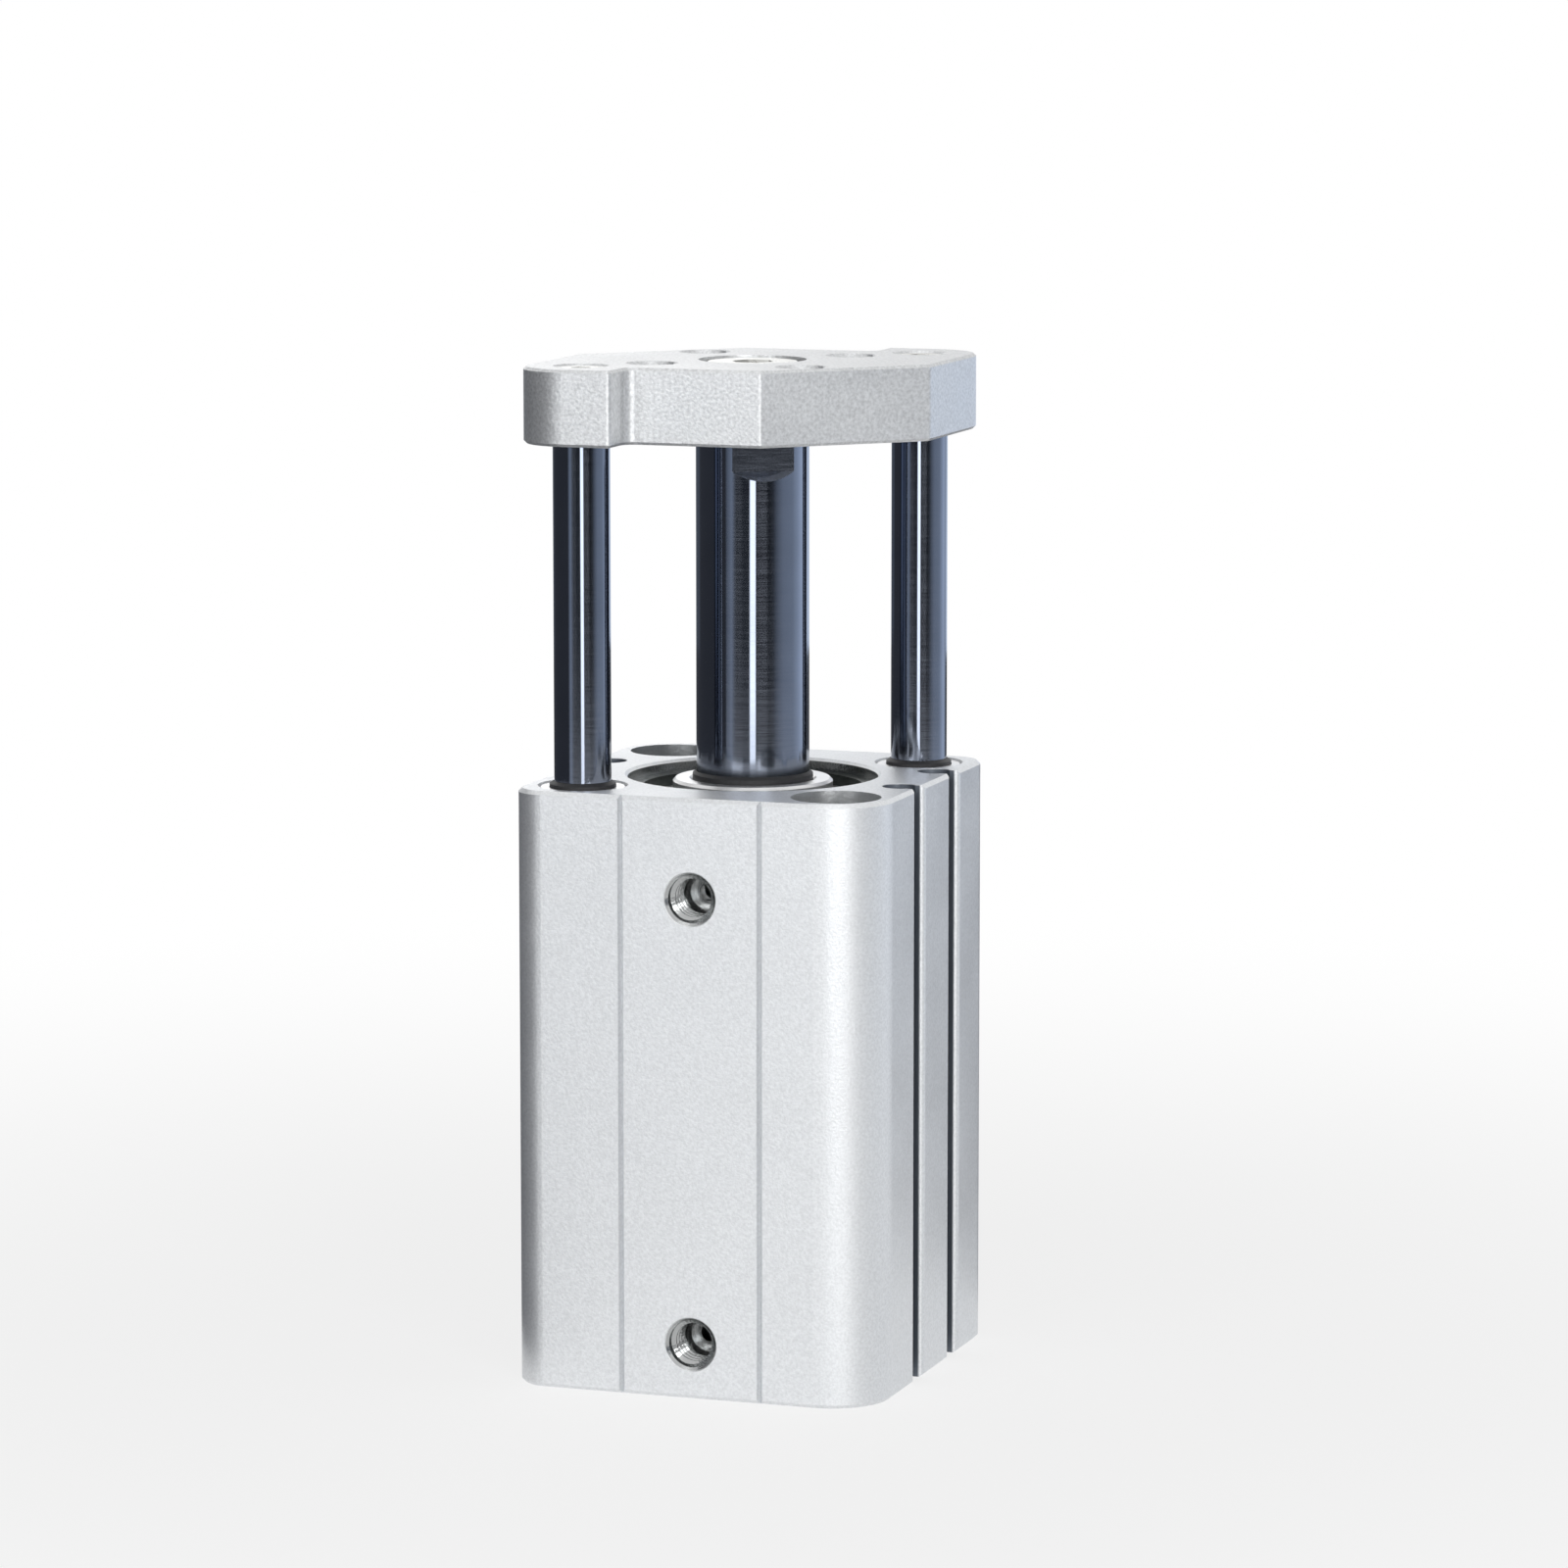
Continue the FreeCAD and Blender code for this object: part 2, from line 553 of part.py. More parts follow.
def flat_cut():
    """One wrench flat with a sloped run-out below it, on the rod's +X side."""
    flat_x = ROD_R - FLAT_DEPTH
    flat_z0 = PLATE_Z0 - FLAT_BELOW_PLATE
    top_z = PLATE_Z0 + ROD_SEAT_DEPTH
    points = [FreeCAD.Vector(flat_x, -ROD_R, flat_z0),
              FreeCAD.Vector(ROD_R, -ROD_R, flat_z0 - FLAT_RUNOUT),
              FreeCAD.Vector(ROD_R, -ROD_R, top_z), FreeCAD.Vector(flat_x, -ROD_R, top_z)]
    face = Part.Face(Part.makePolygon(points + points[:1]))
    return face.extrude(FreeCAD.Vector(0, 2 * ROD_R, 0))


def piston_rod():
    """Ground rod: riveted spigot in the piston, wrench flats and a tapped end in the plate."""
    top_z = PLATE_Z0 + ROD_SEAT_DEPTH
    tap_r = ROD_SCREW_CORE_D / 2 + THREAD_FIT
    tap_z0 = rod_screw_foot_z() - TAP_RUNOUT
    rod = turned([
        (0, PISTON_Z0), (SPIGOT_R + RIVET_FLARE, PISTON_Z0), (SPIGOT_R, PISTON_Z0 + RIVET_FLARE),
        (SPIGOT_R, PISTON_Z1), (ROD_R - EDGE, PISTON_Z1), (ROD_R, PISTON_Z1 + EDGE),
        (ROD_R, top_z - EDGE), (ROD_R - EDGE, top_z), (tap_r, top_z), (tap_r, tap_z0), (0, tap_z0)])
    flats = flat_cut()
    flats = flats.fuse(half_turn_copy(flats))
    flats.rotate(ORIGIN, Z_AXIS, FLAT_ANGLE - 90)
    return rod.cut(flats)


# End plate, guide rods and their screws

def plate_outline():
    """Two lobes over the guide rods, two flats and two slants that clear the mounting screws."""
    s = HALF_SIDE
    slant = 2 * CORNER_AXIS - (MOUNT_CBORE_D / 2 + PLATE_HEAD_ACCESS) * math.sqrt(2)
    lobe_end = CORNER_AXIS - PLATE_LOBE_REACH
    half = [(-s, -s, s - CORNER_AXIS), (-lobe_end, -s, PLATE_EDGE_R),
            (-lobe_end, -PLATE_FRONT, PLATE_CORNER_FILLET),
            (slant - PLATE_FRONT, -PLATE_FRONT, PLATE_EDGE_R), (s, s - slant, PLATE_EDGE_R)]
    return rounded_wire(half + [(-x, -y, radius) for x, y, radius in half])


def end_plate():
    blank = prism(plate_outline(), PLATE_Z0, PLATE_Z1)
    blank = chamfer_ends(blank, PLATE_CHAMFER, PLATE_Z0, PLATE_Z1)
    cuts = [cylinder(ROD_SEAT_R, PLATE_Z0, PLATE_Z0 + ROD_SEAT_DEPTH),
            cylinder(ROD_SCREW_HOLE_D / 2, PLATE_Z0, PLATE_Z1),
            cylinder(ROD_SCREW_CBORE_R, rod_screw_seat_z(), PLATE_Z1)]
    mouth_r = GUIDE_SCREW_HEAD_D / 2 + SEAT_FIT + SCREW_SINK
    for centre in GUIDE_CENTRES.values():
        cuts.append(cylinder(GUIDE_SEAT_R, PLATE_Z0, PLATE_Z0 + GUIDE_SEAT_DEPTH, centre))
        cuts.append(cylinder(GUIDE_SCREW_HOLE_D / 2, PLATE_Z0, PLATE_Z1, centre))
        cuts.append(turned([(0, guide_screw_cone_z()),
                            (GUIDE_SCREW_HOLE_D / 2, guide_screw_cone_z()),
                            (mouth_r, PLATE_Z1), (0, PLATE_Z1)], centre))
    tap_mouth_r = PLATE_THREAD_D / 2 + EDGE
    for x in (-PLATE_TAP_OFFSET, PLATE_TAP_OFFSET):
        for y in (-PLATE_TAP_OFFSET, PLATE_TAP_OFFSET):
            cuts.append(turned([(0, PLATE_Z0), (tap_mouth_r, PLATE_Z0),
                                (PLATE_THREAD_D / 2, PLATE_Z0 + EDGE),
                                (PLATE_THREAD_D / 2, PLATE_Z1 - EDGE),
                                (tap_mouth_r, PLATE_Z1), (0, PLATE_Z1)], (x, y)))
    return blank.cut(cuts)


def rod_screw_seat_z():
    """Height of the counterbore floor under the rod screw's head."""
    return PLATE_Z1 - SCREW_SINK - ROD_SCREW_HEAD_H


def rod_screw_foot_z():
    """Height of the rod screw's lower end."""
    return PLATE_Z0 + ROD_SEAT_DEPTH - ROD_SCREW_ENGAGE


def rod_screw():
    """Low-head socket screw that pulls the piston rod into the plate."""
    head_r = ROD_SCREW_HEAD_D / 2
    shank_r = ROD_SCREW_CORE_D / 2
    head_z0 = rod_screw_seat_z()
    head_z1 = head_z0 + ROD_SCREW_HEAD_H
    foot_z = rod_screw_foot_z()
    body = turned([(0, foot_z), (shank_r - EDGE, foot_z), (shank_r, foot_z + EDGE),
                   (shank_r, head_z0), (head_r, head_z0), (head_r, head_z1 - EDGE),
                   (head_r - EDGE, head_z1), (0, head_z1)])
    return body.cut(hexagon(ROD_SCREW_SOCKET_AF, head_z1 - ROD_SCREW_SOCKET_DEPTH, head_z1))


def guide_screw_cone_z():
    """Height where a guide screw's cone meets its clearance hole."""
    return PLATE_Z1 - SCREW_SINK - (GUIDE_SCREW_HEAD_D - GUIDE_SCREW_HOLE_D) / 2 - SEAT_FIT


def guide_screw(centre):
    """Countersunk socket screw that holds one guide rod."""
    head_r = GUIDE_SCREW_HEAD_D / 2
    shank_r = GUIDE_SCREW_CORE_D / 2
    head_z1 = PLATE_Z1 - SCREW_SINK
    foot_z = PLATE_Z0 + GUIDE_SEAT_DEPTH - GUIDE_SCREW_ENGAGE
    body = turned([(0, foot_z), (shank_r - EDGE, foot_z), (shank_r, foot_z + EDGE),
                   (shank_r, head_z1 - (head_r - shank_r)), (head_r, head_z1), (0, head_z1)], centre)
    socket_z0 = head_z1 - GUIDE_SCREW_SOCKET_DEPTH
    return body.cut(hexagon(GUIDE_SCREW_SOCKET_AF, socket_z0, head_z1, centre))


def guide_rod(centre):
    """Ground guide rod, tapped at the end that sits in the plate."""
    top_z = PLATE_Z0 + GUIDE_SEAT_DEPTH
    tap_r = GUIDE_SCREW_CORE_D / 2 + THREAD_FIT
    tap_z0 = top_z - GUIDE_SCREW_ENGAGE - TAP_RUNOUT
    return turned([(0, GUIDE_FOOT_Z), (GUIDE_R - EDGE, GUIDE_FOOT_Z), (GUIDE_R, GUIDE_FOOT_Z + EDGE),
                   (GUIDE_R, top_z - EDGE), (GUIDE_R - EDGE, top_z), (tap_r, top_z),
                   (tap_r, tap_z0), (0, tap_z0)], centre)


def all_pieces():
    pieces = {
        "barrel": barrel(),
        "head_plate": head_plate(),
        "head_plate_seal": head_plate_seal(),
        "rod_cover": rod_cover(),
        "cover_seal": cover_seal(),
        "rod_bush": rod_bush(),
        "rod_seal": rod_seal(),
        "retaining_ring": retaining_ring(),
        "piston": piston(),
        "piston_seal": piston_seal(),
        "piston_magnet": piston_magnet(),
        "head_side_bumper": bumper(PISTON_Z0 + BUMPER_DEPTH, PISTON_Z0 - BUMPER_PROUD),
        "rod_side_bumper": bumper(PISTON_Z1 - BUMPER_DEPTH, PISTON_Z1 + BUMPER_PROUD),
        "piston_rod": piston_rod(),
        "end_plate": end_plate(),
        "rod_screw": rod_screw(),
        "guide_rod_screws": Part.makeCompound([guide_screw(c) for c in GUIDE_CENTRES.values()]),
    }
    for side, centre in GUIDE_CENTRES.items():
        pieces["guide_rod_" + side] = guide_rod(centre)
        pieces["guide_wiper_" + side] = guide_wiper(centre)
        pieces["guide_washer_" + side] = guide_washer(centre)
        pieces["upper_guide_bush_" + side] = guide_bush(centre, UPPER_BUSH_Z0)
        pieces["lower_guide_bush_" + side] = guide_bush(centre, LOWER_BUSH_Z0)
    return pieces


os.makedirs("parts", exist_ok=True)
for node, shape in all_pieces().items():
    shape.exportStep(os.path.join("parts", node + ".step"))
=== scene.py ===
import json
import math

import bmesh
import bpy
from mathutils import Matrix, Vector


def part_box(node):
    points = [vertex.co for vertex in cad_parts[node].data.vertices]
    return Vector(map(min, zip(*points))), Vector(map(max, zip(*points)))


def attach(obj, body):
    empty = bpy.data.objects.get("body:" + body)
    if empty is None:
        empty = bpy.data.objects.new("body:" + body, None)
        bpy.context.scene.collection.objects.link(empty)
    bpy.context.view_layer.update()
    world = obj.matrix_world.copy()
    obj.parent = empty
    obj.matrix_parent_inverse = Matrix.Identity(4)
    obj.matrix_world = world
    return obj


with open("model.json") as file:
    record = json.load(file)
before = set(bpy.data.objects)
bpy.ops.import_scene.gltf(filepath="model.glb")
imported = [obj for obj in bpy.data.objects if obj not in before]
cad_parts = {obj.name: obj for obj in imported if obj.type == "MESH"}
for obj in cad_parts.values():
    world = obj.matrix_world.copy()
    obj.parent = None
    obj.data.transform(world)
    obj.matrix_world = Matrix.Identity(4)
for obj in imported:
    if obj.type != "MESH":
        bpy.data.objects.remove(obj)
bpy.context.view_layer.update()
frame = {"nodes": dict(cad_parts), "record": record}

MM = 0.001

# Camera
VIEW_AZIMUTH = 18.942
VIEW_ELEVATION = 8.147
CAMERA_PLACE = (0.2264, -0.6495, 0.1608)
CAMERA_LENS = 150.2

# Barrel's half side, the sensor slots across its right face, and the ports' heights
HALF_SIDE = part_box("barrel")[1][0]
SLOTS = (-4.2 * MM, 7.8 * MM)
SLOT_DEPTH = 4.1 * MM
PORTS = [m["pos_m"][2] for m in frame["record"]["mounts"] if m["kind"] == "threaded_hole"]

# Upright holes in the barrel: its mouth round the retaining ring, and the recesses for the mounting screws.
# Each is a place, a radius, and how far its wall is smoothed and darkened with painted shade.
BARREL_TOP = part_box("barrel")[1][2]
MOUTH_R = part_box("rod_cover")[1][0]
CORNER = 14.0 * MM
RECESS_R = 4.7 * MM
BORES = (((0.0, 0.0), MOUTH_R, 1.0),
         ((CORNER, -CORNER), RECESS_R, 0.5),
         ((-CORNER, CORNER), RECESS_R, 0.5))

# Soft edges of the masks for slots and ports, each from where it starts to where it is full
SLOT_SIDE = (2.1 * MM, 1.9 * MM)
SLOT_LIP = (0.40 * MM, 0.62 * MM)
SLOT_FLOOR = (SLOT_DEPTH + 0.2 * MM, SLOT_DEPTH + 0.1 * MM)
SLOT_END = (BARREL_TOP - 0.02 * MM, BARREL_TOP - 0.1 * MM)
PORT_SIDE = (2.85 * MM, 2.75 * MM)
PORT_FLOOR = (-8 * MM, -9 * MM)
BORE_SIDE = (0.1 * MM, 0.05 * MM)

# Threads: M5 in the ports and in the plate
THREAD_PITCH = 0.8 * MM
THREAD_TALL = 0.43 * MM
THREAD_SEGMENTS = 32

# Aluminium: how metallic the blasted faces are, the colour of the painted shade inside the slots, and the
# smoother insides of ports and holes, whose colour is darkened as painted shade
BLASTED_METAL = 0.72
SLOT_SHADE_COLOUR = (0.15, 0.17, 0.20)
BORED_SHADE_COLOUR = (0.44, 0.45, 0.45)
BORED_ROUGHNESS = 0.2

# Chrome: how far the ground lines spread reflections along the rod
GROUND_SPREAD = 0.88

# Strength of the brightest reflector card
CARD_GLOW = 4.0

# The card ring's bands, as azimuths from the front in degrees and how strongly each glows.
# The bright band is neutral and the others are bluish.
CARD_BANDS = ((-180, 1.0), (-165, 0.8), (-150, 0.12), (-121, 0.16), (-73, 0.19), (-65, 0.07), (-52, 0.12),
              (-36, 0.22), (-27, 0.55), (-20, 0.20), (-14, 0.05), (12.5, 0.05), (13, CARD_GLOW),
              (24, CARD_GLOW), (24.5, 0.03), (54, 0.03), (62, 0.08), (72, 0.30), (84, 0.50), (110, 0.60),
              (137, 1.2), (150, 0.8), (165, 1.0))
BRIGHT_TINT = (0.98, 1.0, 1.02)
DIM_TINT = (0.78, 0.9, 1.1)
CARD_PARTS = 72

# Dark flags: where they start and end on the table, and into how many straight parts they are bent
FLAG_NEAR = 0.036
FLAG_FAR = 0.14
FLAG_LIFT = 0.0005
FLAG_PARTS = 12

# Floor: how far from the object its shadow fades out, and how much it glows at least
FLOOR_GREY = 0.9
FLOOR_FADE = (0.03, 0.30)
FLOOR_GLOW = 0.80
FLOOR_REACH = 30.0


class Shader:
    """One procedural material: its Principled shader, and short calls for the nodes that feed it."""

    def __init__(self, name, colour, metallic, roughness):
        self.material = bpy.data.materials.new(name)
        self.material.use_nodes = True
        self.tree = self.material.node_tree
        self.shader = next(n for n in self.tree.nodes if n.type == "BSDF_PRINCIPLED")
        self.coordinates = self.tree.nodes.new("ShaderNodeTexCoord").outputs["Object"]
        self.set("Base Color", (*colour, 1.0))
        self.set("Metallic", metallic)
        self.set("Roughness", roughness)

    def set(self, socket, value):
        self.shader.inputs[socket].default_value = value

    def link(self, output, socket):
        self.tree.links.new(output, self.shader.inputs[socket])

    def node(self, kind, settings=(), **inputs):
        node = self.tree.nodes.new(kind)
        for key, value in dict(settings).items():
            setattr(node, key, value)
        for key, value in inputs.items():
            socket = node.inputs[key.replace("_", " ")]
            if isinstance(value, bpy.types.NodeSocket):
                self.tree.links.new(value, socket)
            else:
                socket.default_value = value
        return node

    def noise(self, grain, detail=2.0, stretch=(1.0, 1.0, 1.0)):
        """Noise whose grains are that many metres across, divided along each axis by stretch."""
        scaled = self.node("ShaderNodeMapping", Vector=self.coordinates, Scale=stretch)
        return self.node("ShaderNodeTexNoise", Vector=scaled.outputs["Vector"], Scale=1.0 / grain,
                         Detail=detail, Roughness=0.55).outputs["Fac"]

    def spread(self, value, low, high, start=0.3, end=0.7):
        """Map a 0 to 1 value to a range, with its middle part used."""
        return self.node("ShaderNodeMapRange", Value=value, From_Min=start, From_Max=end,
                         To_Min=low, To_Max=high).outputs["Result"]

    def tint(self, value, dark, light, base=None):
        """Mix two colours by a value. base is a socket that stands in for the dark one."""
        mix = self.node("ShaderNodeMix", {"data_type": "RGBA"})
        self.tree.links.new(value, mix.inputs["Factor"])
        mix.inputs[6].default_value = (*dark, 1.0)
        mix.inputs[7].default_value = (*light, 1.0)
        if base is not None:
            self.tree.links.new(base, mix.inputs[6])
        return mix.outputs[2]

    def maths(self, operation, first, second=0.0):
        node = self.tree.nodes.new("ShaderNodeMath")
        node.operation = operation
        for socket, value in zip(node.inputs, (first, second)):
            if isinstance(value, bpy.types.NodeSocket):
                self.tree.links.new(value, socket)
            else:
                socket.default_value = value
        return node.outputs[0]

    def fade(self, value, edge, top=1.0):
        """0 before a soft edge and top after it. edge holds the values where it starts and ends."""
        start, end = edge
        return self.node("ShaderNodeMapRange", Value=value, From_Min=start, From_Max=end,
                         To_Max=top).outputs["Result"]

    def slot_shade_mask(self, slots):
        """Mask for the painted shade: 1 deep inside the sensor slots and 0 on the outside, with a soft edge
        at the lips.
        """
        split = self.node("ShaderNodeSeparateXYZ", Vector=self.coordinates)
        x, y = split.outputs["X"], split.outputs["Y"]
        turned_y = self.maths("MULTIPLY", y, self.maths("SIGN", x))
        near = None
        for place in slots:
            off = self.maths("ABSOLUTE", self.maths("SUBTRACT", turned_y, place))
            near = off if near is None else self.maths("MINIMUM", near, off)
        depth = self.maths("SUBTRACT", HALF_SIDE, self.maths("ABSOLUTE", x))
        inside = self.maths("MULTIPLY", self.fade(near, SLOT_SIDE), self.fade(depth, SLOT_LIP))
        inside = self.maths("MULTIPLY", inside, self.fade(depth, SLOT_FLOOR))
        return self.maths("MULTIPLY", inside, self.fade(split.outputs["Z"], SLOT_END))

    def off_axis(self, first, second, centre):
        """Distance from a straight axis that two coordinates place."""
        sockets = (first, second)
        across = [self.maths("SUBTRACT", socket, place) for socket, place in zip(sockets, centre)]
        squares = [self.maths("MULTIPLY", value, value) for value in across]
        return self.maths("SQRT", self.maths("ADD", *squares))

    def inside_bores(self, ports, bores):
        """1 inside the bored holes and 0 on the faces around them.

        ports are heights on the front face. bores are places and radii seen from above, and how far each is
        smoothed and darkened with painted shade.
        """
        split = self.node("ShaderNodeSeparateXYZ", Vector=self.coordinates)
        x, y, z = (split.outputs[axis] for axis in "XYZ")
        front = self.fade(y, PORT_FLOOR)
        inside = None
        for height in ports:
            off = self.off_axis(x, z, (0.0, height))
            part = self.maths("MULTIPLY", self.fade(off, PORT_SIDE), front)
            inside = part if inside is None else self.maths("MAXIMUM", inside, part)
        for place, radius, smoothing_and_shade in bores:
            off = self.off_axis(x, y, place)
            edge = (radius + BORE_SIDE[0], radius + BORE_SIDE[1])
            inside = self.maths("MAXIMUM", inside, self.fade(off, edge, smoothing_and_shade))
        return inside

    def bump(self, height, strength, distance, normal=None):
        node = self.node("ShaderNodeBump", Strength=strength, Distance=distance, Height=height)
        if normal is not None:
            self.tree.links.new(normal, node.inputs["Normal"])
        return node.outputs["Normal"]


def scale_colour(colour, factor):
    return tuple(channel * factor for channel in colour)


def blasted_aluminium(name, colour, roughness, grain, contrast, slots=(), ports=(), bores=()):
    """Bead-blasted and clear anodised: a fine sparkling grain over a satin metal.

    Painted shade darkens the insides of the sensor slots. The bored ports and holes are smoother, and
    painted shade darkens their colour too. slots are places across a side face, the same on the opposite
    face after half a turn. ports are heights on the front face. bores are places, radii, and how far each
    upright hole is smoothed and darkened with painted shade.
    """
    m = Shader(name, colour, BLASTED_METAL, roughness)
    fine = m.noise(grain, 3.0)
    cloud = m.noise(9 * MM, 2.0)
    dark, light = scale_colour(colour, 1 - contrast), scale_colour(colour, 1 + contrast)
    grained = m.tint(m.spread(fine, 0, 1), dark, light)
    rough = m.spread(cloud, roughness - 0.03, roughness + 0.03)
    if slots:
        # Painted shade: the insides of the sensor slots are darkened towards the slot shade colour.
        grained = m.tint(m.slot_shade_mask(slots), (0, 0, 0), SLOT_SHADE_COLOUR, base=grained)
    if ports:
        # The bored holes get a smoother, fully metallic finish, and painted shade darkens their colour.
        bored = m.inside_bores(ports, bores)
        grained = m.tint(bored, (0, 0, 0), BORED_SHADE_COLOUR, base=grained)
        smooth = m.maths("MULTIPLY", bored, BORED_ROUGHNESS - roughness)
        rough = m.maths("ADD", rough, smooth)
        m.link(m.maths("ADD", m.maths("MULTIPLY", bored, 1 - BLASTED_METAL), BLASTED_METAL), "Metallic")
    m.link(grained, "Base Color")
    m.link(rough, "Roughness")
    m.link(m.bump(fine, 0.35, grain * 0.25), "Normal")
    return m.material


def turned_aluminium(name, colour, roughness):
    """Bright turned aluminium with fine rings round the axis."""
    m = Shader(name, colour, 0.85, roughness)
    rings = m.node("ShaderNodeTexWave", {"wave_type": "RINGS", "rings_direction": "Z"},
                   Vector=m.coordinates, Scale=900.0, Distortion=0.6, Detail=2.0).outputs["Fac"]
    cloud = m.noise(2 * MM, 3.0)
    m.link(m.tint(m.spread(cloud, 0, 1), scale_colour(colour, 0.94), colour), "Base Color")
    m.link(m.spread(cloud, roughness - 0.04, roughness + 0.05), "Roughness")
    m.link(m.bump(rings, 0.15, 0.01 * MM), "Normal")
    return m.material


def chrome(name, colour, roughness):
    """Ground and hard-chromed steel: a mirror whose fine lines round the rod blur it lengthwise."""
    m = Shader(name, colour, 1.0, roughness)
    lines = m.noise(0.5 * MM, 2.0, (0.15, 0.15, 6.0))
    cloud = m.noise(6 * MM, 2.0)
    m.link(m.tint(m.spread(cloud, 0, 1), scale_colour(colour, 0.9), colour), "Base Color")
    m.link(m.spread(lines, roughness - 0.02, roughness + 0.03), "Roughness")
    m.link(m.bump(lines, 0.04, 0.01 * MM), "Normal")
    m.set("Anisotropic", GROUND_SPREAD)
    m.set("Anisotropic Rotation", 0.25)
    round_axis = m.node("ShaderNodeTangent", {"direction_type": "RADIAL", "axis": "Z"})
    m.link(round_axis.outputs["Tangent"], "Tangent")
    return m.material


def plated_steel(name, colour, roughness, patchiness):
    """Plated or phosphated steel with a patchy, slightly grainy surface."""
    m = Shader(name, colour, 0.9, roughness)
    patches = m.noise(0.9 * MM, 4.0)
    m.link(m.tint(m.spread(patches, 0, 1), scale_colour(colour, 1 - patchiness), colour), "Base Color")
    m.link(m.spread(patches, roughness + 0.08, roughness - 0.04), "Roughness")
    m.link(m.bump(m.noise(0.2 * MM), 0.2, 0.02 * MM), "Normal")
    return m.material


def sintered_bronze(name, colour):
    m = Shader(name, colour, 0.9, 0.42)
    pores = m.noise(0.25 * MM, 4.0)
    m.link(m.tint(m.spread(pores, 0, 1), scale_colour(colour, 0.45), colour), "Base Color")
    m.link(m.spread(pores, 0.55, 0.35), "Roughness")
    m.link(m.bump(pores, 0.4, 0.04 * MM), "Normal")
    return m.material


def moulded_rubber(name, colour, roughness):
    m = Shader(name, colour, 0.0, roughness)
    skin = m.noise(0.3 * MM, 4.0)
    dark, light = scale_colour(colour, 0.7), scale_colour(colour, 1.4)
    m.link(m.tint(m.spread(skin, 0, 1), dark, light), "Base Color")
    m.link(m.spread(m.noise(3 * MM), roughness - 0.08, roughness + 0.08), "Roughness")
    m.link(m.bump(skin, 0.25, 0.03 * MM), "Normal")
    return m.material


MATERIALS = {
    "barrel_aluminium": blasted_aluminium("barrel_aluminium", (0.785, 0.80, 0.815), 0.42, 0.28 * MM, 0.08,
                                          SLOTS, PORTS, BORES),
    "plate_aluminium": blasted_aluminium("plate_aluminium", (0.66, 0.67, 0.68), 0.42, 0.34 * MM, 0.17),
    "cover_aluminium": turned_aluminium("cover_aluminium", (0.86, 0.86, 0.86), 0.32),
    "piston_aluminium": turned_aluminium("piston_aluminium", (0.70, 0.71, 0.73), 0.36),
    "rod_chrome": chrome("rod_chrome", (0.25, 0.275, 0.33), 0.09),
    "guide_chrome": chrome("guide_chrome", (0.25, 0.275, 0.33), 0.09),
    "screw_steel": plated_steel("screw_steel", (0.74, 0.74, 0.72), 0.28, 0.15),
    "ring_steel": plated_steel("ring_steel", (0.075, 0.085, 0.08), 0.38, 0.35),
    "bush_bronze": sintered_bronze("bush_bronze", (0.60, 0.42, 0.22)),
    "seal_rubber": moulded_rubber("seal_rubber", (0.018, 0.018, 0.02), 0.55),
    "bumper_rubber": moulded_rubber("bumper_rubber", (0.03, 0.03, 0.032), 0.6),
    "magnet_black": moulded_rubber("magnet_black", (0.05, 0.05, 0.052), 0.5),
}


def dress_nodes():
    """Give every CAD node the material of its slot in the record."""
    for part in frame["record"]["subparts"]:
        node = frame["nodes"][part["node"]]
        for slot in node.material_slots:
            slot.material = MATERIALS[part["material_slot"]]


def thread(name, mouth, axis, radius, length, body, slot):
    """Internal thread: a vee ridge that winds down a round hole from its mouth."""
    axis = Vector(axis).normalized()
    side = axis.orthogonal().normalized()
    other = axis.cross(side)
    profile = [(0.0, 0.5), (-THREAD_TALL, 0.12), (-THREAD_TALL, -0.12), (0.0, -0.5)]
    steps = int(length / THREAD_PITCH * THREAD_SEGMENTS)
    bm = bmesh.new()
    rows = []
    for step in range(steps + 1):
        angle = 2 * math.pi * step / THREAD_SEGMENTS
        depth = THREAD_PITCH * step / THREAD_SEGMENTS
        out = side * math.cos(angle) + other * math.sin(angle)
        fade = min(1.0, 4 * step / THREAD_SEGMENTS, 4 * (steps - step) / THREAD_SEGMENTS)
        row = []
        for rise, along in profile:
            point = Vector(mouth) + out * (radius + rise * fade) - axis * (depth + along * THREAD_PITCH)
            row.append(bm.verts.new(point))
        rows.append(row)
    for low, high in zip(rows, rows[1:]):
        for i in range(len(profile) - 1):
            bm.faces.new((low[i], low[i + 1], high[i + 1], high[i]))
    bmesh.ops.recalc_face_normals(bm, faces=bm.faces)
    mesh = bpy.data.meshes.new(name)
    bm.to_mesh(mesh)
    bm.free()
    piece = bpy.data.objects.new(name, mesh)
    bpy.context.collection.objects.link(piece)
    mesh.materials.append(MATERIALS[slot])
    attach(piece, body)


